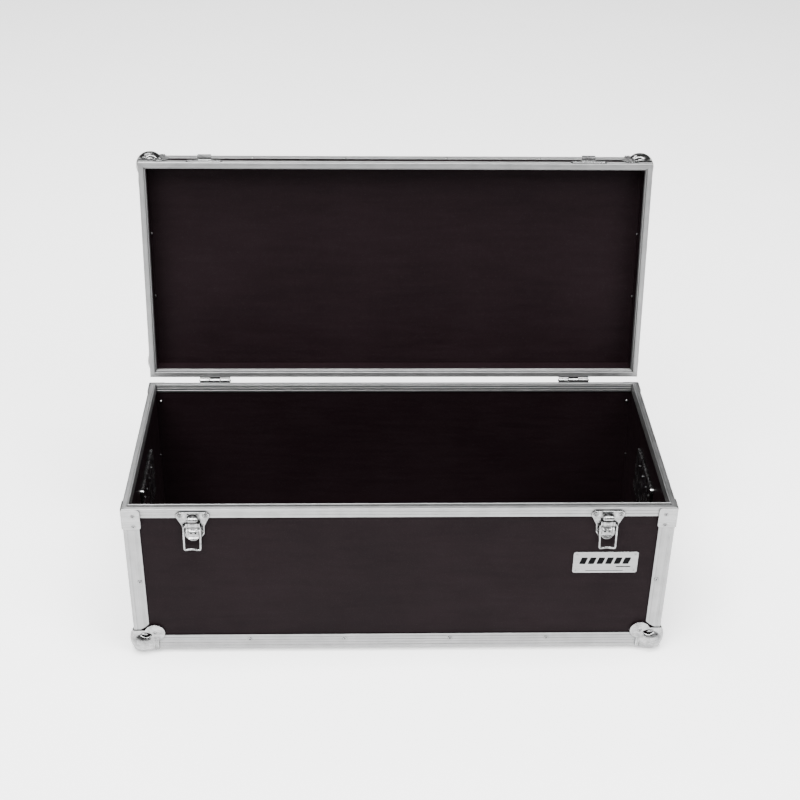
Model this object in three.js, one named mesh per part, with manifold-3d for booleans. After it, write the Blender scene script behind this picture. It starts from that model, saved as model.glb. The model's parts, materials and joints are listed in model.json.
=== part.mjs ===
// Hard equipment case (flight case) with its lid standing open.
// Millimetres, +X right, +Y back, +Z up. Everything is laid out in the case frame, whose origin is the
// middle of the base's underside, and the whole case is moved at the end to stand on z = 0, centred in plan.
import * as THREE from 'three';
import { mergeVertices } from 'three/addons/utils/BufferGeometryUtils.js';
import Module from 'manifold-3d';

const wasm = await Module();
wasm.setup();

// Driving dimensions
const WIDTH = 1000;
const DEPTH = 442;
const BASE_HEIGHT = 326;
const LID_HEIGHT = 68;
const LID_OPEN_ANGLE = 100.2;
const HINGE_SETBACK = 7;
const PANEL = 9;
const EDGE_LEG = 30;
const RAIL_FACE_LEG = 33;
const EDGE_WALL = 2;
const BASE_RIM = { ledge: 10.6, inner: 13.1, tongue: 3.5 };
const LID_RIM = { ledge: 10.2, inner: 13.8, recess: 3.6 };
const RIM_LEG = 18.6;
const RIM_INNER_LEG = 16;
const RIM_POCKET = 5;
const GAP = 0.3;
const PARTING = 0.25;

// Ball corners
const BALL_RADIUS = 28;
const BALL_INSET = 17;
const BALL_PROUD = 10;
const CORNER_SHEET = 1.6;
const CORNER_REACH = 46;
const LOBE_CENTRE = 40.3;
const LOBE_RADIUS = 20.2;

// Latches, keepers, hinges, handles, braces and badge
const LATCH_X = { left: -373, right: 375 };
const HINGE_X = 368;
const SHEET = 1.6;
const LEVER_PIVOT = { out: 8.5, down: 17 };
const BAIL_PIVOT = { out: 6.6, down: 33 };
const BAIL_LENGTH = 53;
const BAIL_HALF_WIDTH = 15.3;
const BAIL_WIRE = 2;
const KNUCKLE_RADIUS = 4.6;
const HINGE_HALF = 31;
const HINGE_LEAF = 38;
const DISH_HEIGHT = 213;
const DISH_HALF = { x: 75, z: 49 };
const DISH_DEPTH = 16;
const FLANGE_HALF = { x: 98, z: 65 };
const HANDLE_PIVOT = { in: 8.5, up: 30 };
const HANDLE_DROP = 50;
const BRACE_LEG = 33;
const BRACE_HEIGHT = 42;
const BADGE = { x: 380, z: 201.5, width: 120, height: 48 };

const rad = THREE.MathUtils.degToRad;
const FACE_X = WIDTH / 2;
const FACE_Y = DEPTH / 2;
const PANEL_INSET = EDGE_WALL + GAP;
const WALL_INNER = PANEL_INSET + PANEL;

const palette = {
  panel: { color: 0x2b2325, roughness: 0.55, metalness: 0 },
  aluminium: { color: 0xc9cbcc, roughness: 0.35, metalness: 1 },
  zinc: { color: 0xb9bbbd, roughness: 0.3, metalness: 1 },
  grip: { color: 0x151515, roughness: 0.7, metalness: 0 },
};

// ---- solids -------------------------------------------------------------------------------------

function toSolid(geometry) {
  const bare = geometry.clone();
  bare.deleteAttribute('normal');
  bare.deleteAttribute('uv');
  const merged = mergeVertices(bare, 1e-4);
  const vertProperties = new Float32Array(merged.attributes.position.array);
  const triVerts = new Uint32Array(merged.index.array);
  return new wasm.Manifold(new wasm.Mesh({ numProp: 3, vertProperties, triVerts }));
}

function toGeometry(solid) {
  const mesh = solid.getMesh();
  const geometry = new THREE.BufferGeometry();
  geometry.setAttribute('position', new THREE.BufferAttribute(mesh.vertProperties, 3));
  geometry.setIndex(new THREE.BufferAttribute(mesh.triVerts, 1));
  return geometry;
}

function join(first, ...others) {
  return toGeometry(others.reduce((solid, next) => solid.add(toSolid(next)), toSolid(first)));
}

function cut(first, ...others) {
  return toGeometry(others.reduce((solid, next) => solid.subtract(toSolid(next)), toSolid(first)));
}

function common(first, second) {
  return toGeometry(toSolid(first).intersect(toSolid(second)));
}

function block(x0, x1, y0, y1, z0, z1) {
  const geometry = new THREE.BoxGeometry(x1 - x0, y1 - y0, z1 - z0);
  return geometry.translate((x0 + x1) / 2, (y0 + y1) / 2, (z0 + z1) / 2);
}

function rodAlongX(radius, x0, x1, y, z, sides = 12) {
  const geometry = new THREE.CylinderGeometry(radius, radius, x1 - x0, sides);
  return geometry.rotateZ(Math.PI / 2).translate((x0 + x1) / 2, y, z);
}

// A shape drawn in x and z, as seen from the front, made solid from y0 back to y1. Each arc becomes
// twice as many straight runs as curveSegments says.
function frontPlate(shape, y0, y1, curveSegments = 3) {
  const geometry = new THREE.ExtrudeGeometry(shape, { depth: y1 - y0, bevelEnabled: false, curveSegments });
  return geometry.rotateX(Math.PI / 2).translate(0, y1, 0);
}

// A side view drawn in y and z, swept along x. Each end is mitred when mitre is 1: the bar then gets
// shorter by as much as a point lies inwards.
function bar(shape, halfLength, mitre = 0, curveSegments = 4) {
  const geometry = new THREE.ExtrudeGeometry(shape, { depth: 1, bevelEnabled: false, curveSegments });
  const position = geometry.attributes.position;
  for (let i = 0; i < position.count; i += 1) {
    const inwards = position.getX(i);
    const up = position.getY(i);
    const end = position.getZ(i) > 0.5 ? 1 : -1;
    position.setXYZ(i, end * (halfLength - mitre * inwards), inwards, up);
  }
  return geometry;
}

function outline(points) {
  return new THREE.Shape(points.map(([a, b]) => new THREE.Vector2(a, b)));
}

function roundedRectangle(halfX, halfZ, radius, centreZ = 0) {
  const shape = new THREE.Shape();
  shape.absarc(halfX - radius, centreZ + halfZ - radius, radius, 0, Math.PI / 2);
  shape.absarc(-halfX + radius, centreZ + halfZ - radius, radius, Math.PI / 2, Math.PI);
  shape.absarc(-halfX + radius, centreZ - halfZ + radius, radius, Math.PI, 1.5 * Math.PI);
  shape.absarc(halfX - radius, centreZ - halfZ + radius, radius, 1.5 * Math.PI, 2 * Math.PI);
  return shape;
}

// Multiplies x, y and z by 1 or -1 and keeps the faces pointing out.
function mirrored(geometry, sx, sy, sz) {
  const copy = geometry.clone().scale(sx, sy, sz);
  if (sx * sy * sz < 0) {
    const index = copy.index.array;
    for (let i = 0; i < index.length; i += 3) {
      [index[i], index[i + 1]] = [index[i + 1], index[i]];
    }
  }
  return copy;
}

// Wire of a round section along a path of straight runs with rounded corners.
function wire(corners, bend, radius, sides, steps) {
  const path = new THREE.CurvePath();
  let from = corners[0];
  for (let i = 1; i < corners.length - 1; i += 1) {
    const corner = corners[i];
    const before = corner.clone().sub(corners[i - 1]).normalize();
    const after = corners[i + 1].clone().sub(corner).normalize();
    const entry = corner.clone().addScaledVector(before, -bend);
    const exit = corner.clone().addScaledVector(after, bend);
    path.add(new THREE.LineCurve3(from, entry));
    path.add(new THREE.QuadraticBezierCurve3(entry, corner, exit));
    from = exit;
  }
  path.add(new THREE.LineCurve3(from, corners[corners.length - 1]));
  const section = new THREE.Shape();
  section.absarc(0, 0, radius, 0, 2 * Math.PI);
  const options = { steps, bevelEnabled: false, extrudePath: path, curveSegments: sides / 2 };
  return new THREE.ExtrudeGeometry(section, options);
}

// ---- placing ------------------------------------------------------------------------------------

function named(name, geometry, finish) {
  const mesh = new THREE.Mesh(geometry, new THREE.MeshStandardMaterial(palette[finish]));
  mesh.name = name;
  return mesh;
}

// What is built against the front face, with y running inwards, is turned to any of the four sides.
const SIDES = {
  front: { turn: 0, x: 0, y: -FACE_Y, half: FACE_X },
  right: { turn: 90, x: FACE_X, y: 0, half: FACE_Y },
  back: { turn: 180, x: 0, y: FACE_Y, half: FACE_X },
  left: { turn: -90, x: -FACE_X, y: 0, half: FACE_Y },
};

function onSide(mesh, side, z = 0) {
  const place = SIDES[side];
  mesh.rotation.z = rad(place.turn);
  mesh.position.set(place.x, place.y, z);
  return mesh;
}

// ---- plywood panels -----------------------------------------------------------------------------

const PANEL_X = FACE_X - PANEL_INSET;
const PANEL_Y = FACE_Y - PANEL_INSET;
const INNER_X = FACE_X - WALL_INNER;
const INNER_Y = FACE_Y - WALL_INNER;

// Front and back walls run the full width, and the side walls stand between them.
function addWalls(group, prefix, z0, z1, sideHole) {
  const sideLength = INNER_Y - GAP;
  const plain = {
    front: block(-PANEL_X, PANEL_X, -PANEL_Y, -INNER_Y, z0, z1),
    back: block(-PANEL_X, PANEL_X, INNER_Y, PANEL_Y, z0, z1),
    left: block(-PANEL_X, -INNER_X, -sideLength, sideLength, z0, z1),
    right: block(INNER_X, PANEL_X, -sideLength, sideLength, z0, z1),
  };
  for (const [side, geometry] of Object.entries(plain)) {
    const pierced = sideHole && (side === 'left' || side === 'right');
    const shape = pierced ? cut(geometry, sideHole) : geometry;
    group.add(named(`${prefix}_${side}_panel`, shape, 'panel'));
  }
}

// ---- aluminium edges ----------------------------------------------------------------------------

// The rail's flat leg lies on the case's bottom or top, and its upright leg stands on the face.
function railOutline(up) {
  return outline([[0, 0], [EDGE_LEG, 0], [EDGE_LEG, up * EDGE_WALL], [EDGE_WALL, up * EDGE_WALL],
    [EDGE_WALL, up * RAIL_FACE_LEG], [0, up * RAIL_FACE_LEG]]);
}

function addRails(group, prefix, z, up) {
  for (const side of Object.keys(SIDES)) {
    const half = SIDES[side].half - EDGE_LEG - GAP;
    const geometry = bar(railOutline(up), half);
    group.add(onSide(named(`${prefix}_rail_${side}`, geometry, 'aluminium'), side, z));
  }
}

function addPosts(group) {
  for (const [end, sy] of [['front', -1], ['back', 1]]) {
    for (const [side, sx] of [['left', -1], ['right', 1]]) {
      const leg = [[0, 0], [EDGE_LEG, 0], [EDGE_LEG, EDGE_WALL], [EDGE_WALL, EDGE_WALL],
        [EDGE_WALL, EDGE_LEG], [0, EDGE_LEG]];
      const plan = leg.map(([a, b]) => [sx * (FACE_X - a), sy * (FACE_Y - b)]);
      const depth = BASE_HEIGHT - PARTING - RIM_LEG - GAP;
      const geometry = new THREE.ExtrudeGeometry(outline(plan), { depth, bevelEnabled: false });
      group.add(named(`base_post_${end}_${side}`, geometry, 'aluminium'));
    }
  }
}

// Points down a face of an extruded profile, with shallow V grooves at the given levels.
function groovedFace(y, levels, depth) {
  const half = 0.45;
  return levels.flatMap((level) => [[y, level + half], [y + depth, level], [y, level - half]]);
}

// The base's closing profile grips the wall's top edge, and a tongue stands up along its inner edge.
function baseRimOutline() {
  const { ledge, inner, tongue } = BASE_RIM;
  return outline([
    [0, 0], ...groovedFace(0, [-6.2, -12.4], 0.45), [0, -RIM_LEG], [EDGE_WALL, -RIM_LEG],
    [EDGE_WALL, -RIM_POCKET], [WALL_INNER + GAP, -RIM_POCKET], [WALL_INNER + GAP, -RIM_INNER_LEG],
    [inner, -RIM_INNER_LEG], ...groovedFace(inner, [0.4, -5, -10.6], -0.45).reverse(),
    [inner, tongue], [ledge, tongue], [ledge, 0],
  ]);
}

// The lid's closing profile has a recess along its inner edge, which comes down over the base's tongue.
function lidRimOutline() {
  const { ledge, inner, recess } = LID_RIM;
  return outline([
    [0, 0], [ledge, 0], [ledge, recess], [inner, recess],
    ...groovedFace(inner, [12.4, 7.6], -0.45).reverse(), [inner, RIM_INNER_LEG],
    [WALL_INNER + GAP, RIM_INNER_LEG], [WALL_INNER + GAP, RIM_POCKET], [EDGE_WALL, RIM_POCKET],
    [EDGE_WALL, RIM_LEG], [0, RIM_LEG], ...groovedFace(0, [12.4, 6.2], 0.45),
  ]);
}

function addRims(group, prefix, shape, z) {
  for (const side of Object.keys(SIDES)) {
    const geometry = bar(shape, SIDES[side].half - GAP / 2, 1);
    group.add(onSide(named(`${prefix}_rim_${side}`, geometry, 'aluminium'), side, z));
  }
}

// ---- ball corners -------------------------------------------------------------------------------

// One lobe as it lies on one face, measured along the two edges from the case's corner.
function lobeShape() {
  const flank = LOBE_RADIUS * Math.SQRT1_2;
  const start = -GAP - CORNER_SHEET;
  const notch = CORNER_REACH - 2 * flank;
  const shape = new THREE.Shape();
  shape.moveTo(start, start);
  shape.lineTo(CORNER_REACH, start);
  shape.lineTo(CORNER_REACH, notch);
  shape.lineTo(LOBE_CENTRE + flank, LOBE_CENTRE - flank);
  shape.absarc(LOBE_CENTRE, LOBE_CENTRE, LOBE_RADIUS, rad(-45), rad(135), false);
  shape.lineTo(notch, CORNER_REACH);
  shape.lineTo(start, CORNER_REACH);
  return shape;
}

// The pressed corner for the corner at the origin of a case that fills x, y and z above zero.
function ballCornerGeometry() {
  const options = { depth: CORNER_SHEET, bevelEnabled: false, curveSegments: 4 };
  const onFloor = new THREE.ExtrudeGeometry(lobeShape(), options).translate(0, 0, -GAP - CORNER_SHEET);
  const turn = new THREE.Matrix4().set(0, 0, 1, 0, 1, 0, 0, 0, 0, 1, 0, 0, 0, 0, 0, 1);
  const onSideWall = onFloor.clone().applyMatrix4(turn);
  const onFrontWall = onSideWall.clone().applyMatrix4(turn);
  const ball = new THREE.SphereGeometry(BALL_RADIUS, 16, 10).translate(BALL_INSET, BALL_INSET, BALL_INSET);
  const far = 80;
  const inside = block(-GAP, far, -GAP, far, -GAP, far);
  const reach = block(-BALL_PROUD, far, -BALL_PROUD, far, -BALL_PROUD, far);
  return common(cut(join(ball, onFloor, onSideWall, onFrontWall), inside), reach);
}

function addBallCorners(group, prefix, z, sz) {
  const corner = ballCornerGeometry();
  for (const [end, sy] of [['front', 1], ['back', -1]]) {
    for (const [side, sx] of [['left', 1], ['right', -1]]) {
      const mesh = named(`${prefix}_ball_corner_${end}_${side}`, mirrored(corner, sx, sy, sz), 'zinc');
      mesh.position.set(-sx * FACE_X, -sy * FACE_Y, z);
      group.add(mesh);
    }
  }
}

// ---- post braces --------------------------------------------------------------------------------

function addBraces(group) {
  const outer = -GAP - SHEET;
  for (const [end, sy] of [['front', -1], ['back', 1]]) {
    for (const [side, sx] of [['left', -1], ['right', 1]]) {
      const plan = [[outer, outer], [BRACE_LEG, outer], [BRACE_LEG, -GAP], [-GAP, -GAP],
        [-GAP, BRACE_LEG], [outer, BRACE_LEG]];
      const placed = plan.map(([a, b]) => [sx * (FACE_X - a), sy * (FACE_Y - b)]);
      const options = { depth: BRACE_HEIGHT, bevelEnabled: false };
      const geometry = new THREE.ExtrudeGeometry(outline(placed), options);
      geometry.translate(0, 0, BASE_HEIGHT - 1 - BRACE_HEIGHT);
      group.add(named(`base_brace_${end}_${side}`, geometry, 'aluminium'));
    }
  }
}

// ---- latches ------------------------------------------------------------------------------------
// A latch is built against the front face with z = 0 at the meeting plane of lid and base.

const plateFront = -GAP - SHEET;

function latchPlateGeometry() {
  const ear = 30;
  const waist = 20;
  const shape = new THREE.Shape();
  shape.moveTo(-ear + 4, -2.5);
  shape.lineTo(ear - 4, -2.5);
  shape.quadraticCurveTo(ear, -3, ear, -7);
  shape.lineTo(ear, -15);
  shape.quadraticCurveTo(waist + 3, -26, waist, -39);
  shape.lineTo(waist, -51);
  shape.quadraticCurveTo(waist - 1, -60, 10, -64);
  shape.lineTo(-10, -64);
  shape.quadraticCurveTo(-waist + 1, -60, -waist, -51);
  shape.lineTo(-waist, -39);
  shape.quadraticCurveTo(-waist - 3, -26, -ear, -15);
  shape.lineTo(-ear, -7);
  shape.quadraticCurveTo(-ear, -3, -ear + 4, -2.5);
  const plate = frontPlate(shape, plateFront, -GAP, 5);
  const lug = new THREE.Shape();
  lug.moveTo(plateFront + 0.5, -LEVER_PIVOT.down - 4.2);
  lug.lineTo(plateFront + 0.5, -LEVER_PIVOT.down + 4.2);
  lug.lineTo(-LEVER_PIVOT.out, -LEVER_PIVOT.down + 4.2);
  lug.absarc(-LEVER_PIVOT.out, -LEVER_PIVOT.down, 4.2, rad(90), rad(270), false);
  const lugs = [-1, 1].map((side) => bar(lug, 1.2).translate(side * 10.9, 0, 0));
  const pin = rodAlongX(2.5, -12, 12, -LEVER_PIVOT.out, -LEVER_PIVOT.down);
  return join(plate, ...lugs, pin);
}

function leverGeometry() {
  const profile = new THREE.Shape();
  profile.absarc(-LEVER_PIVOT.out, -LEVER_PIVOT.down, 5.2, rad(-50), rad(215), false);
  profile.lineTo(-11, -29);
  profile.lineTo(-10.6, -38);
  profile.lineTo(-7.6, -44);
  profile.lineTo(-7.4, -53);
  profile.lineTo(-10.4, -60.2);
  profile.lineTo(-8.6, -61.2);
  profile.lineTo(-5.2, -54.5);
  profile.lineTo(-4.2, -44);
  profile.lineTo(-2.8, -38);
  profile.lineTo(-2.8, -28);
  const lever = bar(profile, 13, 0, 5);
  const front = new THREE.Shape();
  front.moveTo(9.2, 0);
  front.lineTo(-9.2, 0);
  front.lineTo(-9.2, -24);
  front.lineTo(-12.6, -25.5);
  front.lineTo(-12.6, -46);
  front.quadraticCurveTo(-11.5, -61, 0, -61.5);
  front.quadraticCurveTo(11.5, -61, 12.6, -46);
  front.lineTo(12.6, -25.5);
  front.lineTo(9.2, -24);
  const pivotHole = rodAlongX(2.9, -14, 14, -LEVER_PIVOT.out, -LEVER_PIVOT.down);
  const bailHole = rodAlongX(2.5, -14, 14, -BAIL_PIVOT.out, -BAIL_PIVOT.down);
  return cut(common(lever, frontPlate(front, -20, 0, 6)), pivotHole, bailHole);
}

// The bail hangs from its pivot: two legs and a cross bar that is kinked upwards in its middle.
function bailGeometry() {
  const y = -BAIL_PIVOT.out;
  const top = -BAIL_PIVOT.down;
  const bottom = top - BAIL_LENGTH;
  const points = [[-9, top], [-BAIL_HALF_WIDTH, top], [-BAIL_HALF_WIDTH, bottom], [0, bottom + 2],
    [BAIL_HALF_WIDTH, bottom], [BAIL_HALF_WIDTH, top], [9, top]];
  return wire(points.map(([x, z]) => new THREE.Vector3(x, y, z)), 3, BAIL_WIRE, 8, 44);
}

// The keeper is built the same way, with z running up the lid from the meeting plane.
function keeperGeometry() {
  const plate = new THREE.Shape();
  plate.moveTo(-13.5, 25);
  plate.quadraticCurveTo(-16, 17, -31, 17);
  plate.quadraticCurveTo(-35, 17, -35, 13);
  plate.lineTo(-35, 8);
  plate.quadraticCurveTo(-35, 4, -31, 4);
  plate.lineTo(31, 4);
  plate.quadraticCurveTo(35, 4, 35, 8);
  plate.lineTo(35, 13);
  plate.quadraticCurveTo(35, 17, 31, 17);
  plate.quadraticCurveTo(16, 17, 13.5, 25);
  const hook = outline([[plateFront + 0.5, 15.4], [plateFront + 0.5, 17.4], [-10.2, 17.4], [-10.2, 22.5],
    [-11.8, 22.5], [-11.8, 15.4]]);
  return join(frontPlate(plate, plateFront, -GAP, 5), bar(hook, 13.5));
}

// ---- hinges -------------------------------------------------------------------------------------
// Built against the back face as onSide turns it: y runs into the case, so the pin is at y below zero.

function leafGeometry(up, knuckles) {
  const leaf = block(-HINGE_HALF, HINGE_HALF, plateFront - 0.2, -GAP, 1.5, 1.5 + HINGE_LEAF);
  const parts = knuckles.flatMap(([x0, x1]) => [
    rodAlongX(KNUCKLE_RADIUS, x0, x1, -HINGE_SETBACK, 0, 16),
    block(x0, x1, -HINGE_SETBACK, -GAP, 1.8, 4.4),
  ]);
  const solid = join(leaf, ...parts);
  return up > 0 ? solid : mirrored(solid, 1, 1, -1);
}

function baseLeafGeometry() {
  const leaf = leafGeometry(-1, [[-HINGE_HALF, -11], [11, HINGE_HALF]]);
  return join(leaf, rodAlongX(2.3, -HINGE_HALF - 1.5, HINGE_HALF + 1.5, -HINGE_SETBACK, 0));
}

function lidLeafGeometry() {
  return cut(leafGeometry(1, [[-10.6, 10.6]]), rodAlongX(2.75, -12, 12, -HINGE_SETBACK, 0));
}

// ---- recessed side handles ----------------------------------------------------------------------
// Built against a side as onSide turns it, with z = 0 at the middle of the dish.

function dishGeometry() {
  const front = PANEL_INSET - GAP - SHEET;
  const back = PANEL_INSET - GAP + DISH_DEPTH;
  const outer = roundedRectangle(DISH_HALF.x, DISH_HALF.z, 10);
  const inner = roundedRectangle(DISH_HALF.x - SHEET, DISH_HALF.z - SHEET, 10 - SHEET);
  const flange = frontPlate(roundedRectangle(FLANGE_HALF.x, FLANGE_HALF.z, 12), front, front + SHEET);
  const tray = frontPlate(outer, front + 0.4, back);
  const hollow = frontPlate(inner, front - 1, back - SHEET);
  const bracket = { x0: DISH_HALF.x - 10, x1: DISH_HALF.x - 0.8 };
  const brackets = [-1, 1].map((side) => {
    const [a, b] = [side * bracket.x0, side * bracket.x1].sort((p, q) => p - q);
    return block(a, b, HANDLE_PIVOT.in - 5.5, back - 0.8, HANDLE_PIVOT.up - 6, HANDLE_PIVOT.up + 6);
  });
  const hole = rodAlongX(3.5, -DISH_HALF.x + 2.5, DISH_HALF.x - 2.5, HANDLE_PIVOT.in, HANDLE_PIVOT.up);
  return cut(join(cut(join(flange, tray), hollow), ...brackets), hole);
}

function handleGeometry() {
  const y = HANDLE_PIVOT.in;
  const top = HANDLE_PIVOT.up;
  const low = top - HANDLE_DROP;
  const arm = 58;
  const stub = DISH_HALF.x - 4;
  const points = [[-stub, top], [-arm, top], [-arm, low], [arm, low], [arm, top], [stub, top]];
  const rod = wire(points.map(([x, z]) => new THREE.Vector3(x, y, z)), 5, 3, 8, 48);
  const grip = rodAlongX(6.5, -48, 48, y, low);
  return join(rod, grip);
}

// ---- base ---------------------------------------------------------------------------------------

const base = new THREE.Group();
const rimPlane = BASE_HEIGHT - PARTING;
const wallTop = rimPlane - RIM_POCKET - GAP;

const bottomPanel = block(-PANEL_X, PANEL_X, -PANEL_Y, PANEL_Y, PANEL_INSET, WALL_INNER);
base.add(named('base_bottom_panel', bottomPanel, 'panel'));

const dishHole = roundedRectangle(DISH_HALF.x + GAP, DISH_HALF.z + GAP, 10 + GAP, DISH_HEIGHT);
const throughBothSides = frontPlate(dishHole, -WIDTH, WIDTH).rotateZ(Math.PI / 2);
addWalls(base, 'base', WALL_INNER + GAP, wallTop, throughBothSides);
addRails(base, 'base', 0, 1);
addPosts(base);
addRims(base, 'base', baseRimOutline(), rimPlane);
addBallCorners(base, 'base', 0, 1);
addBraces(base);

for (const [side, x] of Object.entries(LATCH_X)) {
  const pieces = {
    latch_plate: latchPlateGeometry(),
    latch_lever: leverGeometry(),
    latch_bail: bailGeometry(),
  };
  for (const [piece, geometry] of Object.entries(pieces)) {
    base.add(onSide(named(`${piece}_${side}`, geometry.translate(x, 0, 0), 'zinc'), 'front', BASE_HEIGHT));
  }
}

for (const [side, x] of [['left', HINGE_X], ['right', -HINGE_X]]) {
  const leaf = baseLeafGeometry().translate(x, 0, 0);
  base.add(onSide(named(`hinge_base_leaf_${side}`, leaf, 'zinc'), 'back', BASE_HEIGHT));
}

for (const side of ['left', 'right']) {
  base.add(onSide(named(`handle_dish_${side}`, dishGeometry(), 'zinc'), side, DISH_HEIGHT));
  base.add(onSide(named(`handle_grip_${side}`, handleGeometry(), 'grip'), side, DISH_HEIGHT));
}

const badgeShape = roundedRectangle(BADGE.width / 2, BADGE.height / 2, 5);
const badgeBack = PANEL_INSET - GAP;
const badge = frontPlate(badgeShape, badgeBack - 1.2, badgeBack).translate(BADGE.x, 0, 0);
base.add(onSide(named('badge_plate', badge, 'aluminium'), 'front', BADGE.z));

// ---- lid ----------------------------------------------------------------------------------------
// Laid out shut, with z running up from the meeting plane, then swung open about the hinge pins.

const lid = new THREE.Group();
const lidTop = LID_HEIGHT - PANEL_INSET;
const lidPanel = block(-PANEL_X, PANEL_X, -PANEL_Y, PANEL_Y, lidTop - PANEL, lidTop);
lid.add(named('lid_top_panel', lidPanel, 'panel'));
addWalls(lid, 'lid', PARTING + RIM_POCKET + GAP, lidTop - PANEL - GAP, null);
addRails(lid, 'lid', LID_HEIGHT, -1);
addRims(lid, 'lid', lidRimOutline(), PARTING);
addBallCorners(lid, 'lid', LID_HEIGHT, -1);

for (const [side, sign] of [['left', -1], ['right', 1]]) {
  const keeper = keeperGeometry().translate(LATCH_X[side], 0, 0);
  lid.add(onSide(named(`latch_keeper_${side}`, keeper, 'zinc'), 'front'));
  const leaf = lidLeafGeometry().translate(-sign * HINGE_X, 0, 0);
  lid.add(onSide(named(`hinge_lid_leaf_${side}`, leaf, 'zinc'), 'back'));
}

lid.position.y = -FACE_Y - HINGE_SETBACK;
const lidSwing = new THREE.Group();
lidSwing.position.set(0, FACE_Y + HINGE_SETBACK, BASE_HEIGHT);
lidSwing.rotation.x = -rad(LID_OPEN_ANGLE);
lidSwing.add(lid);

// ---- the whole case -----------------------------------------------------------------------------

const equipmentCase = new THREE.Group();
equipmentCase.add(base, lidSwing);
const extent = new THREE.Box3().setFromObject(equipmentCase, true);
equipmentCase.position.set(0, -(extent.min.y + extent.max.y) / 2, -extent.min.z);

export default equipmentCase;
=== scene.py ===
import json
import math
from itertools import product

import bmesh
import bpy
import numpy as np
from mathutils import Matrix, Vector


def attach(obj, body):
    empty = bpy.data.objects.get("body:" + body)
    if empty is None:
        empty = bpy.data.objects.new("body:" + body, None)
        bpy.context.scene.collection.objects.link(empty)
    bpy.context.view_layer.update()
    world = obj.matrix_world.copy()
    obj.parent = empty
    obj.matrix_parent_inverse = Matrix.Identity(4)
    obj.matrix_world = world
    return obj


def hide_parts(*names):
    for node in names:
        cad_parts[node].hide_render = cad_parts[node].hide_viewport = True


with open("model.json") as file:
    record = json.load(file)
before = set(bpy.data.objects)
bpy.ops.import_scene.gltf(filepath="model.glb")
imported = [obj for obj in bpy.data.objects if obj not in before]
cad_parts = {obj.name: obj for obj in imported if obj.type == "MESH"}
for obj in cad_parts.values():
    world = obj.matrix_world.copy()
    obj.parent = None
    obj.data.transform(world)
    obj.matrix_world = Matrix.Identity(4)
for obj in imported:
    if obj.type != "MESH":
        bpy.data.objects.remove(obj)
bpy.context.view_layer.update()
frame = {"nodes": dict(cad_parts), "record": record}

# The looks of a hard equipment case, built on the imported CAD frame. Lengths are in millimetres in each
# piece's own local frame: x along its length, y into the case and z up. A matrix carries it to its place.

MM = 0.001
WIDTH, DEPTH, BASE_HEIGHT, LID_HEIGHT = 1000, 442, 326, 68
HINGE_SETBACK = 7
PANEL_INSET, WALL_INNER = 2.3, 11.3
EDGE_LEG, RAIL_FACE_LEG, LID_FACE_LEG, EDGE_WALL, EDGE_ROUND = 30, 33, 28, 2, 3
GROOVE_DEPTH = 0.7
RIM_LEG, RIM_INNER_LEG, RIM_POCKET = 18.6, 16, 5
GAP, PARTING, SHEET = 0.3, 0.25, 1.6
PLATE_FRONT = -GAP - SHEET
BALL_RADIUS, BALL_INSET, BALL_PROUD = 28, 17, 10
CORNER_REACH, LOBE_CENTRE, LOBE_RADIUS, RING_RADIUS = 46, 39.8, 19.2, 13
RIB_PLACES, RIB_RADIUS, RIB_TOP = (37, 40, 43.6), 0.9, 22
LATCH_X = {"left": -373, "right": 375}
HINGE_X = 368
DISH_HEIGHT, DISH_BACK = 213, 18
SIDES = {
    "front": (0, (0, -DEPTH / 2), WIDTH / 2),
    "right": (90, (WIDTH / 2, 0), DEPTH / 2),
    "back": (180, (0, DEPTH / 2), WIDTH / 2),
    "left": (-90, (-WIDTH / 2, 0), DEPTH / 2),
}
ENDS = (("left", -1), ("right", 1))


# ---- places -------------------------------------------------------------------------------------

def move(x, y, z):
    return Matrix.Translation(Vector((x, y, z)) * MM)


def turn(degrees, axis):
    return Matrix.Rotation(math.radians(degrees), 4, axis)


hinge = next(joint for joint in frame["record"]["behaviour"]["joints"] if joint["name"] == "lid_hinge")
PIVOT_Y = DEPTH / 2 + HINGE_SETBACK
CASE = Matrix.Translation(hinge["pos_m"]) @ move(0, -PIVOT_Y, -BASE_HEIGHT)
LID = CASE @ move(0, PIVOT_Y, BASE_HEIGHT) @ turn(hinge["range_deg"][0], "X") @ move(0, -PIVOT_Y, 0)


def on_side(group, side, z=0):
    angle, (x, y), _ = SIDES[side]
    return group @ move(x, y, z) @ turn(angle, "Z")


# ---- meshes: each is (vertices, faces) ----------------------------------------------------------

def merge(*meshes):
    vertices, faces = [], []
    for points, polygons in meshes:
        start = len(vertices)
        vertices.extend(tuple(point) for point in points)
        faces.extend([start + i for i in polygon] for polygon in polygons)
    return vertices, faces


def scaled(mesh, x=1, y=1, z=1):
    """The mesh stretched or mirrored about its origin, with its faces still pointing out."""
    vertices, faces = mesh
    flip = x * y * z < 0
    return [(p[0] * x, p[1] * y, p[2] * z) for p in vertices], [f[::-1] if flip else f for f in faces]


def moved(mesh, matrix):
    return [matrix @ Vector(p) for p in mesh[0]], mesh[1]


def shift(mesh, x=0, y=0, z=0):
    return [(p[0] + x, p[1] + y, p[2] + z) for p in mesh[0]], mesh[1]


def loft(loops, closed=False):
    """Skin over loops of equally many points. Its ends are capped, unless it closes on itself."""
    size = len(loops[0])
    vertices = [point for loop in loops for point in loop]
    faces = []
    for i in range(len(loops) if closed else len(loops) - 1):
        a, b = i * size, (i + 1) % len(loops) * size
        faces += [[a + j, a + (j + 1) % size, b + (j + 1) % size, b + j] for j in range(size)]
    if not closed:
        last = (len(loops) - 1) * size
        faces += [list(range(size))[::-1], list(range(last, last + size))]
    return vertices, faces


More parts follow.
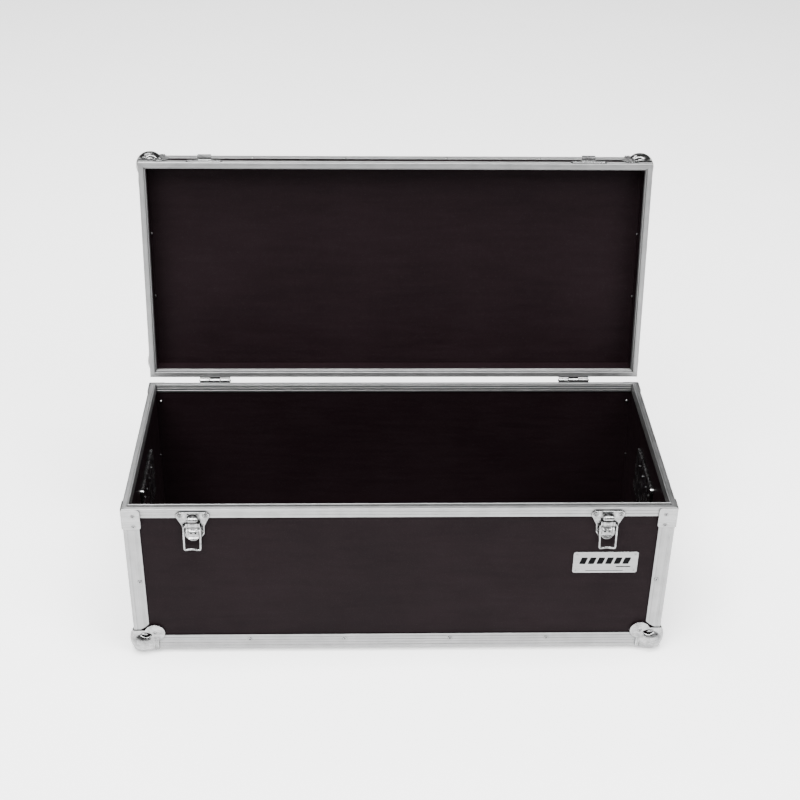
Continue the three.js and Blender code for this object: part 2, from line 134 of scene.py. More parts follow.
def rounded(corners, radius=0.0, steps=3):
    """The closed outline with rounded corners. A corner's third number is its own radius."""
    outline = []
    for i, corner in enumerate(corners):
        here = Vector(corner[:2])
        before = Vector(corners[i - 1][:2]) - here
        after = Vector(corners[(i + 1) % len(corners)][:2]) - here
        own = corner[2] if len(corner) > 2 else radius
        half = before.angle(after) / 2
        reach = min(own / max(math.tan(half), 1e-6), 0.48 * before.length, 0.48 * after.length)
        if reach < 0.01 or half > math.radians(88):
            outline.append(tuple(here))
            continue
        start, end = here + before.normalized() * reach, here + after.normalized() * reach
        for k in range(steps + 1):
            t = k / steps
            outline.append(tuple(start * (1 - t) ** 2 + here * (2 * t * (1 - t)) + end * t * t))
    return outline


def sweep(profile, half, mitre=0, middle=0):
    """A profile in y and z swept along x. A mitred end gets shorter by as much as a point lies inwards."""
    return loft([[(middle + end * (half - mitre * y), y, z) for y, z in profile] for end in (-1, 1)])


def plate(outline, y0, y1, edge=0.35):
    """An outline in x and z made into a plate from y0 back to y1, with its front edge eased."""
    points = np.array(outline)
    centre = (points.max(0) + points.min(0)) / 2
    shrink = 1 - edge / np.maximum((points.max(0) - points.min(0)) / 2, edge * 2)
    eased = (points - centre) * shrink + centre
    loops = [(eased, y0), (points, y0 + edge), (points, y1)]
    return loft([[(x, y, z) for x, z in loop] for loop, y in loops])


def rounded_rectangle(half_x, half_z, radius, steps=5):
    corners = [(half_x, half_z), (-half_x, half_z), (-half_x, -half_z), (half_x, -half_z)]
    return rounded(corners, radius, steps)


def turned(profile, sides=24):
    """A profile of (radius, height) pairs turned about the y axis. Height runs out of the face."""
    angles = [2 * math.pi * k / sides for k in range(sides)]
    rings = [[(r * math.cos(a), -h, r * math.sin(a)) for a in angles] for r, h in profile]
    return loft(rings)


def rod(radius, x0, x1, y=0, z=0, sides=24, ease=0.4):
    """A rod along x with eased ends."""
    ends = [(x0, radius - ease), (x0 + ease, radius), (x1 - ease, radius), (x1, radius - ease)]
    angles = [2 * math.pi * k / sides for k in range(sides)]
    return loft([[(x, y + r * math.cos(a), z + r * math.sin(a)) for a in angles] for x, r in ends])


def wire(corners, bend, radius, sides=12, steps=6):
    """Round wire through the corners, each bent to a curve that starts that far before it."""
    corners = [Vector(corner) for corner in corners]
    path = [corners[0]]
    for before, here, after in zip(corners, corners[1:], corners[2:]):
        start = here + (before - here).normalized() * bend
        end = here + (after - here).normalized() * bend
        for k in range(steps + 1):
            t = k / steps
            path.append(start * (1 - t) ** 2 + here * (2 * t * (1 - t)) + end * t * t)
    path.append(corners[-1])
    return tube(path, radius, sides)


def tube(path, radius, sides=12):
    loops = []
    across = None
    for i, point in enumerate(path):
        along = (path[min(i + 1, len(path) - 1)] - path[max(i - 1, 0)]).normalized()
        if across is None:
            across = along.orthogonal().normalized()
        across = (across - along * across.dot(along)).normalized()
        other = along.cross(across)
        ring = []
        for k in range(sides):
            angle = 2 * math.pi * k / sides
            ring.append(point + (across * math.cos(angle) + other * math.sin(angle)) * radius)
        loops.append([tuple(p) for p in ring])
    return loft(loops)


# ---- pressed metal, as the zero level of a distance field ----------------------------------------

def soft_min(a, b, radius):
    h = np.maximum(radius - np.abs(a - b), 0) / radius
    return np.minimum(a, b) - h * h * radius / 4


def soft_max(a, b, radius):
    return -soft_min(-a, -b, radius)


def to_outline(x, y, outline):
    """Signed distance from points in a plane to a closed outline, negative inside."""
    nearest = np.full(x.shape, np.inf)
    inside = np.zeros(x.shape, bool)
    for (ax, ay), (bx, by) in zip(outline, outline[1:] + outline[:1]):
        ex, ey = bx - ax, by - ay
        t = np.clip(((x - ax) * ex + (y - ay) * ey) / (ex * ex + ey * ey + 1e-12), 0, 1)
        nearest = np.minimum(nearest, (x - ax - t * ex) ** 2 + (y - ay - t * ey) ** 2)
        if ay != by:
            inside ^= ((ay > y) != (by > y)) & (x < ax + ex * (y - ay) / ey)
    return np.where(inside, -1, 1) * np.sqrt(nearest)


def skin(field, low, high, step):
    """Closed quads over the zero level of a field, one vertex in each cell that the level crosses."""
    low = np.array(low, float)
    counts = np.ceil((np.array(high) - low) / step).astype(int) + 1
    cells = counts - 1
    index = np.stack(np.meshgrid(*[np.arange(n) for n in counts], indexing="ij"), -1)
    value = field(*np.moveaxis(low + index * step, -1, 0))
    inside = value < 0

    def corner(offset):
        i, j, k = offset
        return value[i:i + cells[0], j:j + cells[1], k:k + cells[2]]

    total, hits = np.zeros((*cells, 3)), np.zeros(cells)
    for axis, a, b in product(range(3), (0, 1), (0, 1)):
        start = [0, 0, 0]
        start[(axis + 1) % 3], start[(axis + 2) % 3] = a, b
        end = list(start)
        end[axis] = 1
        near, far = corner(start), corner(end)
        crossed = (near < 0) != (far < 0)
        t = np.divide(near, near - far, out=np.zeros_like(near), where=crossed)
        for k in range(3):
            total[..., k] += crossed * (t if k == axis else start[k])
        hits += crossed
    used = hits > 0
    number = np.full(cells, -1)
    number[used] = np.arange(used.sum())
    points = low + step * (index[:-1, :-1, :-1][used] + total[used] / hits[used][:, None])

    faces = []
    for axis in range(3):
        near = [slice(1, -1)] * 3
        far = [slice(1, -1)] * 3
        near[axis], far[axis] = slice(0, -1), slice(1, None)
        starts, ends = inside[tuple(near)], inside[tuple(far)]
        offset = np.ones(3, int)
        offset[axis] = 0
        u, v = np.eye(3, dtype=int)[(axis + 1) % 3], np.eye(3, dtype=int)[(axis + 2) % 3]
        for going_out in (True, False):
            at = np.argwhere((starts == going_out) & (ends != going_out)) + offset
            quad = [number[tuple((at - step_back).T)] for step_back in (u + v, v, 0 * u, u)]
            faces.append(np.stack(quad if going_out else quad[::-1], -1))
    faces = np.concatenate(faces)

    for _ in range(2):
        nudge = 0.2 * step
        slope = [field(*(points + nudge * e).T) - field(*(points - nudge * e).T) for e in np.eye(3)]
        slope = np.stack(slope, -1) / (2 * nudge)
        size = np.maximum((slope ** 2).sum(-1), 0.25)
        back = np.clip(-field(*points.T) / size, -0.5 * step, 0.5 * step)
        points = points + slope * back[:, None]
    return points.tolist(), faces.tolist()


def pressed(outline, low, high, front=lambda x, z: PLATE_FRONT + 0 * x, thick=SHEET, holes=(),
            extra=None, step=0.5, edge=0.8):
    """Sheet metal: an outline in x and z whose front surface stands at y = front(x, z)."""

    def field(x, y, z):
        flat = to_outline(x, z, outline)
        for hx, hz, radius in holes:
            flat = np.maximum(flat, radius - np.hypot(x - hx, z - hz))
        middle = front(x, z) + thick / 2
        body = soft_max(flat, np.abs(y - middle) - thick / 2, edge)
        return body if extra is None else soft_min(body, extra(x, y, z), 1.2)

    return skin(field, low, high, step)


# ---- materials ----------------------------------------------------------------------------------

class Finish:
    """A procedural material. Its textures follow the piece that wears it."""

    def __init__(self, name, **constants):
        self.material = bpy.data.materials.new(name)
        self.material.use_nodes = True
        self.tree = self.material.node_tree
        self.shader = self.tree.nodes["Principled BSDF"]
        self.set(self.shader, constants)
        self.place = self.add("ShaderNodeTexCoord").outputs["Object"]
        self.normal = None

    def set(self, node, inputs):
        for key, value in inputs.items():
            if isinstance(value, bpy.types.NodeSocket):
                self.tree.links.new(value, node.inputs[key])
            else:
                node.inputs[key].default_value = value

    def add(self, kind, inputs=None, **settings):
        node = self.tree.nodes.new(kind)
        for key, value in settings.items():
            setattr(node, key, value)
        self.set(node, inputs or {})
        return node

    def noise(self, scale, stretch=(1, 1, 1), detail=3, low=0.0, high=1.0):
        """Noise with that many features per metre, spread between low and high."""
        mapping = self.add("ShaderNodeMapping", {"Vector": self.place, "Scale": stretch})
        inputs = {"Vector": mapping.outputs["Vector"], "Scale": scale, "Detail": detail}
        texture = self.add("ShaderNodeTexNoise", inputs)
        limits = {"From Min": 0.3, "From Max": 0.7, "To Min": low, "To Max": high}
        spread = self.add("ShaderNodeMapRange", {"Value": texture.outputs["Fac"], **limits})
        return spread.outputs["Result"]

    def cells(self, scale, low=0.0, high=1.0):
        texture = self.add("ShaderNodeTexVoronoi", {"Vector": self.place, "Scale": scale})
        grey = self.add("ShaderNodeSeparateColor", {"Color": texture.outputs["Color"]})
        limits = {"To Min": low, "To Max": high}
        return self.add("ShaderNodeMapRange", {"Value": grey.outputs["Red"], **limits}).outputs["Result"]

    def math(self, operation, a, b):
        node = self.add("ShaderNodeMath", operation=operation)
        self.set(node, {0: a, 1: b})
        return node.outputs["Value"]

    def painted_crevice_shade(self, colour, dark, reach):
        """Painted shade: the colour, darkened where other metal stands closer than the reach, as in crevices,
        grooves and joints.
        """
        occlusion = self.add("ShaderNodeAmbientOcclusion", {"Distance": reach}, samples=6)
        shade = self.math("POWER", occlusion.outputs["AO"], 2.2)
        return self.blend(shade, grey(dark), colour)

    def blend(self, amount, first, second):
        inputs = {"Fac": amount, "Color1": first, "Color2": second}
        return self.add("ShaderNodeMixRGB", inputs).outputs["Color"]

    def bump(self, height, distance):
        inputs = {"Height": height, "Strength": 1.0, "Distance": distance}
        if self.normal is not None:
            inputs["Normal"] = self.normal
        self.normal = self.add("ShaderNodeBump", inputs).outputs["Normal"]

    def finish(self, colour, roughness):
        self.set(self.shader, {"Base Color": colour, "Roughness": roughness, "Normal": self.normal})
        return self.material


def grey(value, tint=(1, 1, 1)):
    return (*[value * t for t in tint], 1)


def brushed(name, dark, light, rough, along=(1, 1, 1)):
    """Bright metal with drawn lines along one axis, faint blotches and a few dull patches."""
    finish = Finish(name, Metallic=1.0)
    lines = finish.noise(1400, stretch=along, detail=2)
    bands = finish.noise(260, stretch=along, detail=2)
    blotches = finish.noise(30, detail=5)
    shade = finish.math("ADD", finish.math("MULTIPLY", lines, 0.35), finish.math("MULTIPLY", bands, 0.35))
    shade = finish.math("ADD", shade, finish.math("MULTIPLY", blotches, 0.3))
    colour = finish.blend(shade, grey(dark, (1, 1.003, 1.006)), grey(light, (1, 1.003, 1.008)))
    finish.bump(lines, 0.000012)
    finish.bump(blotches, 0.00002)
    worn = finish.noise(70, detail=6, low=rough - 0.06, high=rough + 0.06)
    # The colour is darkened as painted shade where other metal stands within 4 mm, in grooves and joints.
    return finish.finish(finish.painted_crevice_shade(colour, 0.04, 0.004), worn)


def zinc_finish(name, dark, light, rough):
    """Bright zinc plating: small crystals, soft dents and cloudy patches."""
    finish = Finish(name, Metallic=1.0)
    crystals = finish.cells(420)
    clouds = finish.noise(55, detail=6)
    shade = finish.math("ADD", finish.math("MULTIPLY", crystals, 0.3), finish.math("MULTIPLY", clouds, 0.7))
    colour = finish.blend(shade, grey(dark, (1, 1.004, 1.01)), grey(light, (1, 1.002, 1.006)))
    finish.bump(finish.noise(160, detail=3), 0.00013)
    finish.bump(finish.noise(520, detail=3), 0.00006)
    rough = finish.noise(90, detail=5, low=rough, high=rough + 0.16)
    # The colour is darkened as painted shade where other metal stands within 6 mm, in crevices round rivets,
    # lobes and holes.
    return finish.finish(finish.painted_crevice_shade(colour, 0.03, 0.006), rough)


def laminate_finish():
    """Dark brown film on plywood: a fine grain, long faint ripples from the wood and a little dust."""
    finish = Finish("dark_laminate", Metallic=0.0)
    finish.set(finish.shader, {"Specular IOR Level": 0.035, "IOR": 1.5})
    ripples = finish.noise(20, stretch=(0.5, 1.5, 4), detail=5)
    patches = finish.noise(5, detail=4)
    tone = finish.math("ADD", finish.math("MULTIPLY", ripples, 0.45), finish.math("MULTIPLY", patches, 0.55))
    film = finish.blend(tone, (0.0038, 0.0019, 0.0025, 1), (0.0066, 0.0037, 0.0046, 1))
    dust = finish.noise(900, detail=2, low=-3.2, high=1.0)
    dust = finish.add("ShaderNodeClamp", {"Value": dust}).outputs["Result"]
    colour = finish.blend(finish.math("MULTIPLY", dust, 0.05), film, grey(0.16, (1, 0.95, 0.92)))
    finish.bump(ripples, 0.0002)
    finish.bump(finish.noise(1500, detail=2), 0.00006)
    return finish.finish(colour, finish.noise(26, detail=6, low=0.40, high=0.56))


def plain_finish(name, colour, rough, grain, depth, gloss=0.5):
    finish = Finish(name, Metallic=0.0)
    finish.set(finish.shader, {"Specular IOR Level": gloss})
    tone = finish.noise(40, detail=5)
    shades = finish.blend(tone, (*[c * 0.8 for c in colour], 1), (*[c * 1.15 for c in colour], 1))
    finish.bump(finish.noise(grain, detail=3), depth)
    return finish.finish(shades, finish.noise(120, detail=4, low=rough, high=rough + 0.15))


laminate = laminate_finish()
extrusion = brushed("drawn_aluminium", 0.18, 0.34, 0.43, along=(0.004, 1, 1))
sheet_metal = brushed("sheet_aluminium", 0.20, 0.38, 0.30, along=(0.05, 1, 1))
badge_metal = brushed("brushed_badge", 0.18, 0.29, 0.30, along=(0.01, 1, 1))
zinc = zinc_finish("zinc_plating", 0.12, 0.40, 0.15)
rivet_metal = zinc_finish("rivet_metal", 0.12, 0.36, 0.2)
rubber = plain_finish("grip_rubber", (0.016, 0.016, 0.017), 0.55, 1500, 0.00012)
print_black = plain_finish("badge_print", (0.003, 0.003, 0.0034), 0.5, 900, 0.00003, 0.02)


# ---- making pieces ------------------------------------------------------------------------------

def piece(name, mesh, where, body, material, replaces=(), crease=35):
    data = bpy.data.meshes.new(name)
    data.from_pydata([Vector(p) * MM for p in mesh[0]], [], mesh[1])
    shell = bmesh.new()
    shell.from_mesh(data)
    bmesh.ops.recalc_face_normals(shell, faces=shell.faces)
    shell.to_mesh(data)
    shell.free()
    data.materials.append(material)
    data.shade_smooth()
    data.set_sharp_from_angle(angle=math.radians(crease))
    made = bpy.data.objects.new(name, data)
    bpy.context.scene.collection.objects.link(made)
    made.matrix_world = where
    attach(made, body)
    if replaces:
        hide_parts(*replaces)
    return made


def soften(node, width=0.6):
    """Eases the edges of a CAD node, whose mesh is split at its edges."""
    node.modifiers.new("weld", "WELD").merge_threshold = 1e-5
    bevel = node.modifiers.new("bevel", "BEVEL")
    bevel.width = width * MM
    bevel.segments = 2
    bevel.limit_method = "ANGLE"
    bevel.angle_limit = math.radians(40)


def rivet_head(radius=4.0, height=1.3):
    """A blind rivet's domed head with the hole that its mandrel leaves."""
    profile = [(0.02, -0.4), (0.36, -0.4), (0.39, 0.84), (0.48, 1.0), (0.64, 0.93), (0.82, 0.68), (0.96, 0.3)]
    return turned([(r * radius, h * height) for r, h in profile] + [(radius, 0.05), (radius, -0.6)])


def rivet_tail(radius=2.9, height=3.2):
    """The upset end of a blind rivet, as it shows inside."""
    profile = [(0.02, 1), (0.45, 0.98), (0.8, 0.8), (1, 0.45), (0.94, 0.1), (0.9, -0.2)]
    return turned([(r * radius, h * height) for r, h in profile], sides=16)


def row(mesh, spots):
    """Copies of a small mesh at (x, y, z) spots, as one mesh."""
    return merge(*[shift(mesh, *spot) for spot in spots])


# ---- panels -------------------------------------------------------------------------------------

for name, node in frame["nodes"].items():
    if name.endswith("_panel"):
        node.data.materials.clear()
        node.data.materials.append(laminate)
        soften(node, 0.4)

# ---- edge rails, posts and closing profiles -----------------------------------------------------

def grooves(y, levels, depth, half=0.8):
    """Points down a face with a shallow groove at each level."""
    return [point for level in levels
            for point in ((y, level + half, 0), (y + depth, level, 0.5), (y, level - half, 0))]


def angle_legs(face_leg):
    """The inner side of an edge angle, from the tip of one leg to the other. Both legs thin to a lip."""
    lip, taper = 0.8, 4
    return [(EDGE_LEG, 0, 0.4), (EDGE_LEG, lip, 0.3), (EDGE_LEG - taper, EDGE_WALL, 0.6),
            (EDGE_WALL, EDGE_WALL, 1.2), (EDGE_WALL, face_leg - taper, 0.6), (lip, face_leg, 0.3),
            (0, face_leg, 0.4)]


def rail_profile(up):
    """The angle along an outer edge, grooved down its face. The lid's face leg is shorter."""
    face_leg, levels = (RAIL_FACE_LEG, [27.5, 21, 14.5, 8]) if up > 0 else (LID_FACE_LEG, [22, 15, 8])
    corners = angle_legs(face_leg) + grooves(0, levels, GROOVE_DEPTH) + [(0, 0, EDGE_ROUND)]
    return [(y, up * z) for y, z in rounded(corners)]


def add_rails(group, body, prefix, z, up):
    """One rail on each side, cut square where the ball corners cover its ends."""
    for side, (_, _, half) in SIDES.items():
        name = f"{prefix}_rail_{side}"
        mesh = sweep(rail_profile(up), half - EDGE_LEG - GAP)
        piece(name + "_shape", mesh, on_side(group, side, z), body, extrusion, [name])


def add_posts():
    """The upright angles. Their feet are cut at a slant above the ball corners."""
    top = BASE_HEIGHT - PARTING - RIM_LEG - GAP
    foot_height, foot_slope = 44, 30.6
    down = grooves(0, [24, 7.5], 0.45)
    across = [(z, y, r) for y, z, r in down[::-1]]
    profile = rounded(angle_legs(EDGE_LEG) + down + [(0, 0, EDGE_ROUND)] + across)
    upright = Matrix(((0, 1, 0, 0), (0, 0, 1, 0), (1, 0, 0, 0), (0, 0, 0, 1)))
    foot = [(max(foot_height, max(y, z) + foot_slope), y, z) for y, z in profile]
    post = loft([foot, [(top, y, z) for y, z in profile]])
    for (end, sy), (side, sx) in product((("front", -1), ("back", 1)), ENDS):
        name = f"base_post_{end}_{side}"
        mesh = scaled(post, 1, -sx, -sy)
        where = CASE @ move(sx * WIDTH / 2, sy * DEPTH / 2, 0) @ upright
        piece(name + "_shape", mesh, where, "base", extrusion, [name])


def base_rim_profile():
    """The closing profile on the base, with a tongue standing up along its inner edge."""
    ledge, inner, tongue = 10.6, 13.1, 3.5
    corners = [(0, 0, 1.2), *grooves(0, [-6.2, -12.4], GROOVE_DEPTH, 0.7), (0, -RIM_LEG, 0.7),
               (EDGE_WALL, -RIM_LEG, 0.5), (EDGE_WALL, -RIM_POCKET, 0.3),
               (WALL_INNER + GAP, -RIM_POCKET, 0.3), (WALL_INNER + GAP, -RIM_INNER_LEG, 0.5),
               (inner, -RIM_INNER_LEG, 0.8), *grooves(inner, [-10.6, -5, 0.4], -GROOVE_DEPTH, -0.9),
               (inner, tongue, 0.9), (ledge, tongue, 0.9), (ledge, -0.5, 0.2), (ledge - 0.9, 0, 0.2)]
    return rounded(corners)


def lid_rim_profile():
    """The closing profile on the lid, recessed where the base's tongue goes in."""
    ledge, inner, recess = 10.2, 13, 3.6
    corners = [(0, 0, 1.2), (ledge, 0, 0.7), (ledge, recess, 0.3), (inner, recess, 0.8),
               *grooves(inner, [7.6, 12.4], -GROOVE_DEPTH, -0.9), (inner, RIM_INNER_LEG, 0.8),
               (WALL_INNER + GAP, RIM_INNER_LEG, 0.5), (WALL_INNER + GAP, RIM_POCKET, 0.3),
               (EDGE_WALL, RIM_POCKET, 0.3), (EDGE_WALL, RIM_LEG, 0.5), (0, RIM_LEG, 0.7),
               *grooves(0, [12.4, 6.2], GROOVE_DEPTH, 0.7)]
    return rounded(corners)


def add_rims(group, body, prefix, profile, z):
    """One closing profile on each side, mitred at its ends."""
    for side, (_, _, half) in SIDES.items():
        name = f"{prefix}_rim_{side}"
        mesh = sweep(profile, half - GAP / 2, mitre=1)
        piece(name + "_shape", mesh, on_side(group, side, z), body, extrusion, [name])


add_rails(CASE, "base", "base", 0, 1)
add_rails(LID, "lid", "lid", LID_HEIGHT, -1)
add_posts()
add_rims(CASE, "base", "base", base_rim_profile(), BASE_HEIGHT - PARTING)
add_rims(LID, "lid", "lid", lid_rim_profile(), PARTING)


# ---- ball corners -------------------------------------------------------------------------------

def lobe_outline():
    """One plate of a ball corner: a square at the corner with a round lobe, which holds the rivet."""
    flank = LOBE_RADIUS * math.sqrt(0.5)
    notch = CORNER_REACH - 2 * flank + 2.2
    start = PLATE_FRONT - 8
    arc = [math.radians(a) for a in range(-45, 136, 9)]
    curve = [(LOBE_CENTRE + LOBE_RADIUS * math.cos(a), LOBE_CENTRE + LOBE_RADIUS * math.sin(a)) for a in arc]
    return [(start, start), (CORNER_REACH, start), (CORNER_REACH, notch), *curve, (notch, CORNER_REACH),
            (start, CORNER_REACH)]


def ball_corner():
    """The pressed corner of a case that fills x, y and z above zero."""
    outline = lobe_outline()

    def pierced(body, a, b, z):
        """A slanting almond hole above the ball, with a low dome left standing in it."""
        hole_at, hole_z, slant = 23.3, 36.4, 0.14
        along = a - hole_at
        up = z - hole_z + slant * along
        hole = 4 * (np.sqrt(np.abs(along / 10) ** 1.6 + (up / 4.4) ** 2) - 1)
        dome = ((along + 3.4) / 6.6) ** 2 + ((up - 0.2) / 2.3) ** 2 + ((b + 0.6) / 2.6) ** 2
        dome = 2 * (np.sqrt(dome) - 1)
        return soft_min(soft_max(body, -hole, 0.8), dome, 0.4)

    def field(x, y, z):
        ball = np.sqrt((x - BALL_INSET) ** 2 + (y - BALL_INSET) ** 2 + (z - BALL_INSET) ** 2) - BALL_RADIUS
        outer = soft_max(soft_max(PLATE_FRONT - x, PLATE_FRONT - y, 4), PLATE_FRONT - z, 4)
        sheet = np.full(x.shape, np.inf)
        for a, b, c in ((x, y, z), (y, z, x), (z, x, y)):
            flat = to_outline(a, b, outline)
            ring = (np.hypot(a - LOBE_CENTRE, b - LOBE_CENTRE) - RING_RADIUS) / 2.2
            swell = 0.35 * np.exp(-ring ** 2)
            slab = np.abs(c - PLATE_FRONT / 2 + 0.15 + swell / 2) - SHEET / 2 - swell / 2
            sheet = np.minimum(sheet, soft_max(flat, slab, 1.1))
        sheet = np.maximum(sheet, outer)
        body = soft_min(ball, sheet, 2.5)
        for a, b in ((x, y), (y, x)):
            for at in RIB_PLACES:
                rib = np.maximum(np.hypot(a - at, b - PLATE_FRONT) - RIB_RADIUS, z - RIB_TOP)
                body = soft_min(body, np.maximum(rib, PLATE_FRONT + RIB_RADIUS - z), 0.6)
            body = pierced(body, a, b, z)
        for v in (x, y, z):
            body = soft_max(body, -BALL_PROUD - v, 0.8)
        return np.maximum(body, np.minimum(np.minimum(x, y), z) + GAP)

    reach = LOBE_CENTRE + LOBE_RADIUS + 2
    return skin(field, (-BALL_PROUD - 1.5,) * 3, (reach,) * 3, 0.8)


def add_ball_corners():
    """The corners, mirrored from one mesh, each with a rivet in each of its three lobes."""
    corner = ball_corner()
    heads = [shift(rivet_head(3.9, 1.2), LOBE_CENTRE, PLATE_FRONT, LOBE_CENTRE)]
    cycle = Matrix(((0, 0, 1, 0), (1, 0, 0, 0), (0, 1, 0, 0), (0, 0, 0, 1)))
    heads += [moved(heads[0], cycle), moved(heads[0], cycle @ cycle)]
    for group, body, z, sz in ((CASE, "base", 0, 1), (LID, "lid", LID_HEIGHT, -1)):
        for (end, sy), (side, sx) in product((("front", 1), ("back", -1)), ENDS):
            name = f"{body}_ball_corner_{end}_{side}"
            where = group @ move(sx * WIDTH / 2, -sy * DEPTH / 2, z)
            mesh = scaled(corner, -sx, sy, sz)
            piece(name + "_shape", mesh, where, body, zinc, [name], crease=50)
            rivets = scaled(merge(*heads), -sx, sy, sz)
            piece(name + "_rivets", rivets, where, body, rivet_metal)


add_ball_corners()


# ---- braces -------------------------------------------------------------------------------------

BRACE_HEIGHT, BRACE_DROP = 42, 43


def brace():
    """The bent plate on a base corner, for a corner at the origin and a case on the side of x, y > 0."""
    leg, height = 33, BRACE_HEIGHT

    def field(x, y, z):
        outer = soft_max(PLATE_FRONT - x, PLATE_FRONT - y, 3)
        sheet = np.inf
        for a, b in ((x, y), (y, x)):
            flat = soft_max(a - leg, np.abs(z - height / 2) - height / 2, 6)
            sheet = np.minimum(sheet, soft_max(flat, b + GAP, 0.6))
        return np.maximum(np.maximum(sheet, outer), np.minimum(x, y) + GAP)

    return skin(field, (-3, -3, -1), (leg + 1, leg + 1, height + 1), 0.6)


def add_braces():
    """A brace with four rivets at the top of each post."""
    mesh = brace()
    spots = [(20, PLATE_FRONT, 29), (20, PLATE_FRONT, 6)]
    heads = row(rivet_head(3.6, 1.1), spots)
    swap = Matrix(((0, 1, 0, 0), (1, 0, 0, 0), (0, 0, 1, 0), (0, 0, 0, 1)))
    heads = merge(heads, moved(heads, swap))
    for (end, sy), (side, sx) in product((("front", 1), ("back", -1)), ENDS):
        name = f"base_brace_{end}_{side}"
        where = CASE @ move(sx * WIDTH / 2, -sy * DEPTH / 2, BASE_HEIGHT - BRACE_DROP)
        shape = scaled(mesh, -sx, sy, 1)
        piece(name + "_shape", shape, where, "base", sheet_metal, [name])
        piece(name + "_rivets", scaled(heads, -sx, sy, 1), where, "base", rivet_metal)


add_braces()

# ---- rivets along the edges ---------------------------------------------------------------------

LONG_SIDE, SHORT_SIDE = (-282, -102, 98, 282), (-95, 95)
RAIL_RIVETS = {"front": LONG_SIDE, "back": LONG_SIDE, "left": SHORT_SIDE, "right": SHORT_SIDE}
RAIL_RIVET_HEIGHT, POST_RIVET_HEIGHT, POST_RIVET_INSET = 22.6, 162, 21.2


def tails_at(name, spots, place, body):
    """Rivet ends on the inner face of a wall, at (x, z) spots."""
    mesh = row(rivet_tail(), [(x, -WALL_INNER, z) for x, z in spots])
    piece(name, scaled(mesh, 1, -1, 1), place, body, rivet_metal)


def add_edge_rivets():
    """Heads along the rails and posts, and the few ends that show inside."""
    head = rivet_head()
    for side, spots in RAIL_RIVETS.items():
        half = SIDES[side][2]
        low = [(x, 0, RAIL_RIVET_HEIGHT) for x in spots]
        high = [(sign * (half - POST_RIVET_INSET), 0, POST_RIVET_HEIGHT) for sign in (-1, 1)]
        place = on_side(CASE, side)
        piece(f"base_{side}_rivets", row(head, low + high), place, "base", rivet_metal)
        place = on_side(LID, side, LID_HEIGHT)
        top = [(x, 0, -RAIL_RIVET_HEIGHT) for x in spots]
        piece(f"lid_{side}_rivets", row(head, top), place, "lid", rivet_metal)
    for side, towards_front in (("left", 1), ("right", -1)):
        posts = [(sign * (DEPTH / 2 - POST_RIVET_INSET), POST_RIVET_HEIGHT) for sign in (-1, 1)]
        tails_at(f"base_{side}_rivet_tails", posts, on_side(CASE, side), "base")
        spots = [(towards_front * 68, 50), (-towards_front * 64, 54)]
        tails_at(f"lid_{side}_rivet_tails", spots, on_side(LID, side), "lid")
    tails_at("base_back_rivet_tails", [(-479, 288), (479, 288)], on_side(CASE, "back"), "base")


add_edge_rivets()


# ---- latches: z = 0 is the meeting plane of lid and base -----------------------------------------

LEVER_Y, LEVER_Z = -8.5, -17
BAIL_Y, BAIL_Z = -6.6, -33
PLATE_EARS = ((23.2, -12), (15.4, -47))


def mirrored(half):
    """The rounded outline whose right half is given, from top to bottom."""
    return rounded(half + [(-x, z, r) for x, z, r in half[::-1]], steps=5)


def latch_plate():
    """The riveted plate, with two lugs, the lever's pin and a slot. z = 0 is the meeting plane."""
    half = [(4, -4.4, 0), (25, -4.4, 4), (30, -9.5, 3), (30, -16, 5), (20.5, -35, 8), (19.5, -53, 8),
            (12, -63.5, 8), (4, -64, 0)]
    outline = mirrored(half)

    def front(x, z):
        """Dished inside a raised edge, with the top edge turned out and rings round the rivets."""
        edge = to_outline(x, z, outline)
        hollow = 0.6 / (1 + np.exp((edge + 3.0) * 2.5))
        lip = 2.4 / (1 + np.exp((-6.2 - z) * 2.6)) * (np.abs(x) < 24)
        rings = 0
        for ear_x, ear_z in PLATE_EARS:
            from_ring = np.hypot(np.abs(x) - ear_x, z - ear_z) - 4.6
            rings = rings + 0.7 * np.exp(-(from_ring / 1.1) ** 2)
        return PLATE_FRONT - 0.2 + hollow - lip - rings

    def lugs(x, y, z):
        side = np.abs(np.abs(x) - 8.4) - 1.0
        cheek = np.hypot(np.minimum(y - LEVER_Y, 0), z - LEVER_Z) - 4.2
        return np.maximum(np.maximum(side, cheek), y - PLATE_FRONT)

    slot_z, slot_radius = -8.4, 1.7
    slot = [(x, slot_z, slot_radius) for x in np.arange(-7.5, 7.6, 1.3)]
    mesh = pressed(outline, (-32, -14, -66), (32, 0, -3), front=front, extra=lugs, holes=slot, step=0.5)
    pin = rod(2.5, -10.4, 10.4, LEVER_Y, LEVER_Z)
    return merge(mesh, pin)


